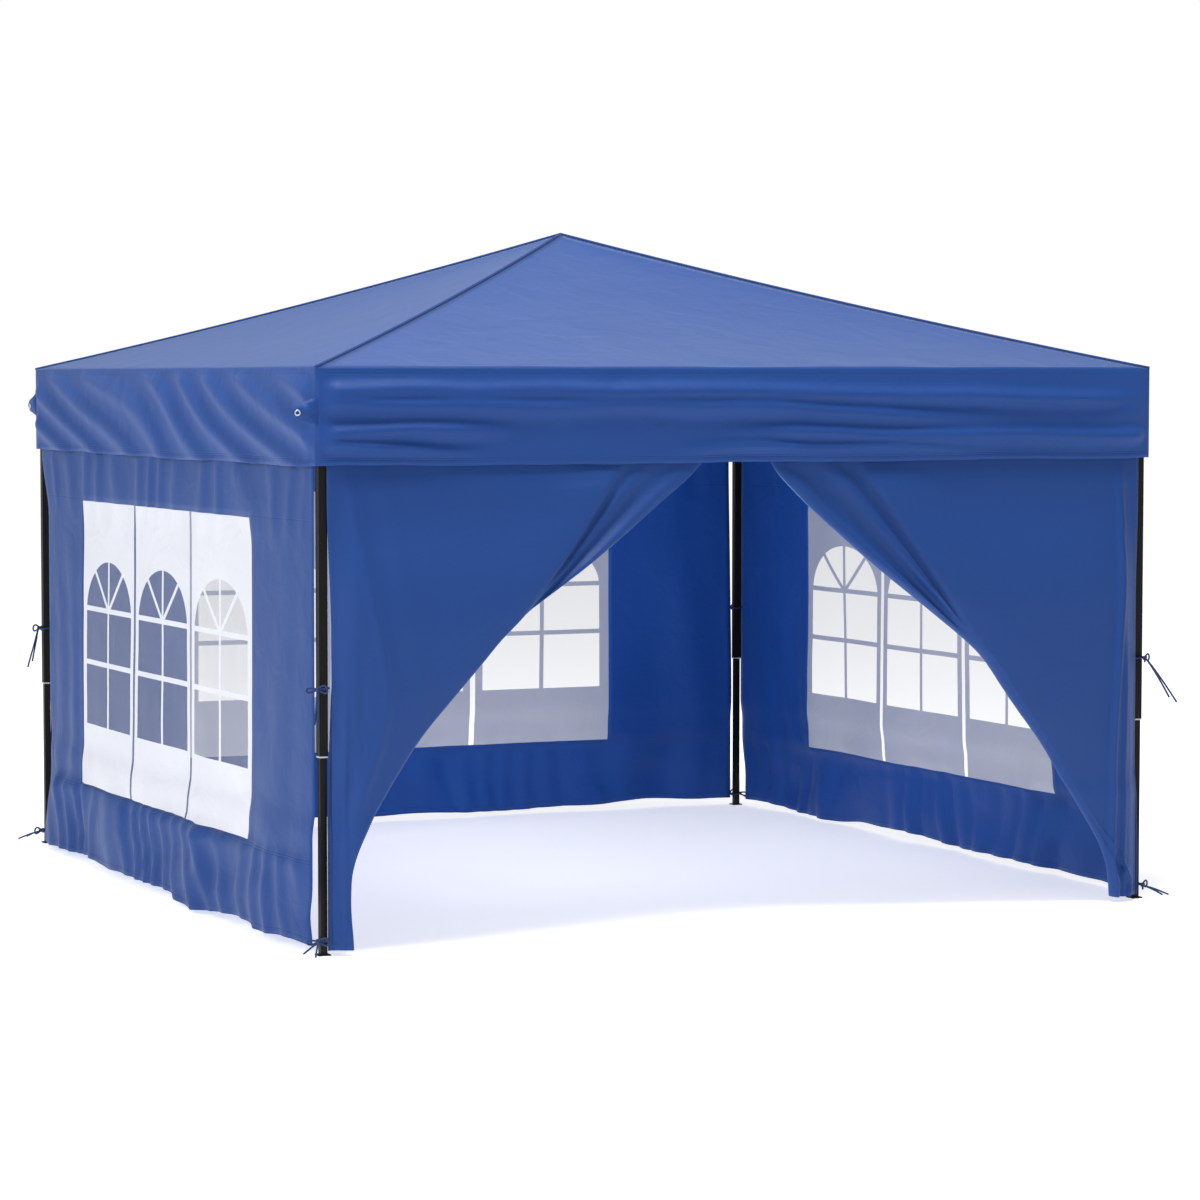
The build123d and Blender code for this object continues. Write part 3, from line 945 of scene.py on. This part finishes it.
def corner_tab(side):
    """The cloth tab that carries on past the valance's end, with its eyelet."""
    bm = bmesh.new()
    base = -HALF + 0.004
    corners = [bm.verts.new((HALF + 0.0012, a, z)) for a, z in (
        (base, 1.712), (base, 1.626), (-HALF - 0.058, 1.642), (-HALF - 0.084, 1.664), (-HALF - 0.066, 1.684))]
    bm.faces.new(corners)
    bmesh.ops.subdivide_edges(bm, edges=bm.edges, cuts=2)
    bmesh.ops.triangulate(bm, faces=bm.faces)
    cut = bm.loops.layers.uv.new("cut")
    for tri in bm.faces:
        for loop in tri.loops:
            loop[cut].uv = loop.vert.co.yz
    for vert in bm.verts:
        vert.co.x += 0.006 * ease(base, -HALF - 0.084, vert.co.y) ** 2
    bmesh.ops.recalc_face_normals(bm, faces=bm.faces)
    turn_mesh(bm, TURN[side])
    return to_mesh(bm, f"corner_tab_{side}", skirt_cloth())


def eyelet(side):
    bm = bmesh.new()
    bmesh.ops.create_circle(bm, segments=12, radius=0.0024)
    turn_mesh(bm, 90, "X")
    bmesh.ops.translate(bm, vec=(0.0078, 0, 0), verts=bm.verts)
    bmesh.ops.spin(bm, geom=bm.edges[:], cent=(0, 0, 0), axis=(0, 0, 1), angle=2 * pi, steps=28,
                   use_merge=True)
    bmesh.ops.remove_doubles(bm, verts=bm.verts, dist=1e-6)
    bmesh.ops.recalc_face_normals(bm, faces=bm.faces)
    turn_mesh(bm, 90, "Y")
    bmesh.ops.translate(bm, vec=(HALF + 0.0062, -HALF - 0.062, 1.662), verts=bm.verts)
    turn_mesh(bm, TURN[side])
    metal = hard_material("eyelet metal", (0.55, 0.55, 0.56), 0.3, 0.05, 300.0, metallic=1.0)
    return to_mesh(bm, f"eyelet_{side}", metal)


class GAZEBO_OT_tabs(bpy.types.Operator):
    """Make the corner tabs and eyelets for the guy lines"""
    bl_idname = "gazebo.make_tabs"
    bl_label = "Corner tabs"

    def execute(self, context):
        for side in ("front", "left", "back"):
            for piece in (thicken(corner_tab(side)), eyelet(side)):
                fold_up(piece, f"mid_upper_{side}")
        return {"FINISHED"}


class GAZEBO_OT_frame(bpy.types.Operator):
    """Finish the steel and plastic of the folding frame"""
    bl_idname = "gazebo.finish_frame"
    bl_label = "Frame finish"

    def execute(self, context):
        leg = leg_steel()
        truss = hard_material("truss powder coat", (0.014, 0.014, 0.016), 0.38, 0.15, 700.0)
        plastic = hard_material("moulded nylon", (0.011, 0.011, 0.012), 0.52, 0.20, 320.0)
        for name, node in FRAME["nodes"].items():
            if name.startswith(("leg_", "lower_leg")):
                finish = leg
            elif name.startswith(("truss", "side_", "centre_post")):
                finish = truss
            else:
                finish = plastic
            node.data.materials.clear()
            node.data.materials.append(finish)
        return {"FINISHED"}


def studio_light(name, place, target, size, power):
    lamp = bpy.data.lights.new(name, "AREA")
    lamp.shape = "SQUARE"
    lamp.size = size
    lamp.energy = power
    made = bpy.data.objects.new(name, lamp)
    made.location = place
    made.rotation_euler = (Vector(target) - Vector(place)).to_track_quat("-Z", "Y").to_euler()
    bpy.context.scene.collection.objects.link(made)
    return made


class GAZEBO_OT_stage(bpy.types.Operator):
    """Set up the pale floor, the soft light and the camera"""
    bl_idname = "gazebo.make_stage"
    bl_label = "Stage"

    def execute(self, context):
        bm = bmesh.new()
        bmesh.ops.create_grid(bm, x_segments=8, y_segments=8, size=60)
        floor = to_mesh(bm, "floor", self.floor_material())
        world = bpy.data.worlds.new("soft studio")
        context.scene.world = world
        world.use_nodes = True
        sky = world.node_tree.nodes["Background"]
        sky.inputs[0].default_value = (1, 1, 1, 1)
        seen = world.node_tree.nodes.new("ShaderNodeLightPath").outputs["Is Camera Ray"]
        strength = maths(world.node_tree, "MULTIPLY_ADD", seen, 0.50, 0.50)
        world.node_tree.links.new(strength, sky.inputs[1])
        context.scene.view_settings.view_transform = "Standard"
        studio_light("left key", (-9.0, -2.0, 4.5), (0, 0, 1.2), 3.0, 320)
        studio_light("high front", (-1.0, -2.8, 9.5), (0, 0, 1.5), 2.2, 840)
        self.inside_light("inside soft", 1.25, 11, (1, 1, 1))
        glow = self.inside_light("cloth glow", 1.0, 92, (0.22, 0.72, 1.0))
        glow.data.specular_factor = 0.0
        lit = bpy.data.collections.new("cloth lit from inside")
        for piece in context.scene.objects:
            if piece.name.startswith(("wall_cloth", "door_", "roof_panel", "skirt_")):
                lit.objects.link(piece)
        glow.light_linking.receiver_collection = lit
        self.camera(context)
        return {"FINISHED"}

    def inside_light(self, name, height, power, colour):
        """A soft round light under the roof, for the light that comes through the cloth."""
        lamp = bpy.data.lights.new(name, "POINT")
        lamp.shadow_soft_size = 0.45
        lamp.energy = power
        lamp.color = colour
        made = bpy.data.objects.new(name, lamp)
        made.location = (0.0, 0.0, height)
        made.visible_camera = False
        bpy.context.scene.collection.objects.link(made)
        return made

    def floor_material(self):
        made, tree, shader = new_material("pale floor")
        if tree is None:
            return made
        pale = (*bpy.context.scene.gazebo_frame.floor_colour, 1)
        place = tree.nodes.new("ShaderNodeTexCoord").outputs["Object"]
        cloud = noise_field(tree, place, 0.4, 2.0)
        tree.links.new(mix_colour(tree, maths(tree, "MULTIPLY", cloud, 0.03), pale, (0.9, 0.9, 0.9, 1)),
                       shader.inputs["Base Color"])
        shader.inputs["Roughness"].default_value = 0.8
        shader.inputs["Emission Color"].default_value = (1, 1, 1, 1)
        shader.inputs["Emission Strength"].default_value = 0.57
        return made

    def camera(self, context):
        azimuth, elevation, distance = radians(-24.558), radians(3.269), 12.889
        ahead = Vector((-sin(azimuth) * cos(elevation), cos(azimuth) * cos(elevation), -sin(elevation)))
        lens = bpy.data.cameras.new("view")
        lens.lens = 107.58
        lens.sensor_width = 36
        lens.shift_x, lens.shift_y = 0.0329, -0.0130
        lens.clip_end = 200
        made = bpy.data.objects.new("view", lens)
        made.location = Vector((0, 0, 1.0274)) - ahead * distance
        made.rotation_euler = ahead.to_track_quat("-Z", "Y").to_euler()
        context.scene.collection.objects.link(made)
        context.scene.camera = made


OPERATORS = (GAZEBO_OT_frame, GAZEBO_OT_roof, GAZEBO_OT_skirts, GAZEBO_OT_walls, GAZEBO_OT_door,
             GAZEBO_OT_ties, GAZEBO_OT_tabs, GAZEBO_OT_stage)


class GAZEBO_PT_panel(bpy.types.Panel):
    """Lists the gazebo's settings and the buttons that make its pieces"""
    bl_label = "Pop up gazebo"
    bl_space_type = "VIEW_3D"
    bl_region_type = "UI"
    bl_category = "Gazebo"

    def draw(self, context):
        for settings in (context.scene.gazebo_cloth, context.scene.gazebo_drape, context.scene.gazebo_frame):
            box = self.layout.box()
            for name in type(settings).__annotations__:
                box.prop(settings, name)
        for operator in OPERATORS:
            self.layout.operator(operator.bl_idname)


CLASSES = (GazeboClothSettings, GazeboDrapeSettings, GazeboFrameSettings, *OPERATORS, GAZEBO_PT_panel)


def register():
    for cls in CLASSES:
        bpy.utils.register_class(cls)
    bpy.types.Scene.gazebo_cloth = PointerProperty(type=GazeboClothSettings)
    bpy.types.Scene.gazebo_drape = PointerProperty(type=GazeboDrapeSettings)
    bpy.types.Scene.gazebo_frame = PointerProperty(type=GazeboFrameSettings)


def unregister():
    for name in ("gazebo_frame", "gazebo_drape", "gazebo_cloth"):
        delattr(bpy.types.Scene, name)
    for cls in reversed(CLASSES):
        bpy.utils.unregister_class(cls)


def main():
    register()
    for operator in OPERATORS:
        group, name = operator.bl_idname.split(".")
        getattr(getattr(bpy.ops, group), name)()


if __name__ == "__main__":
    main()
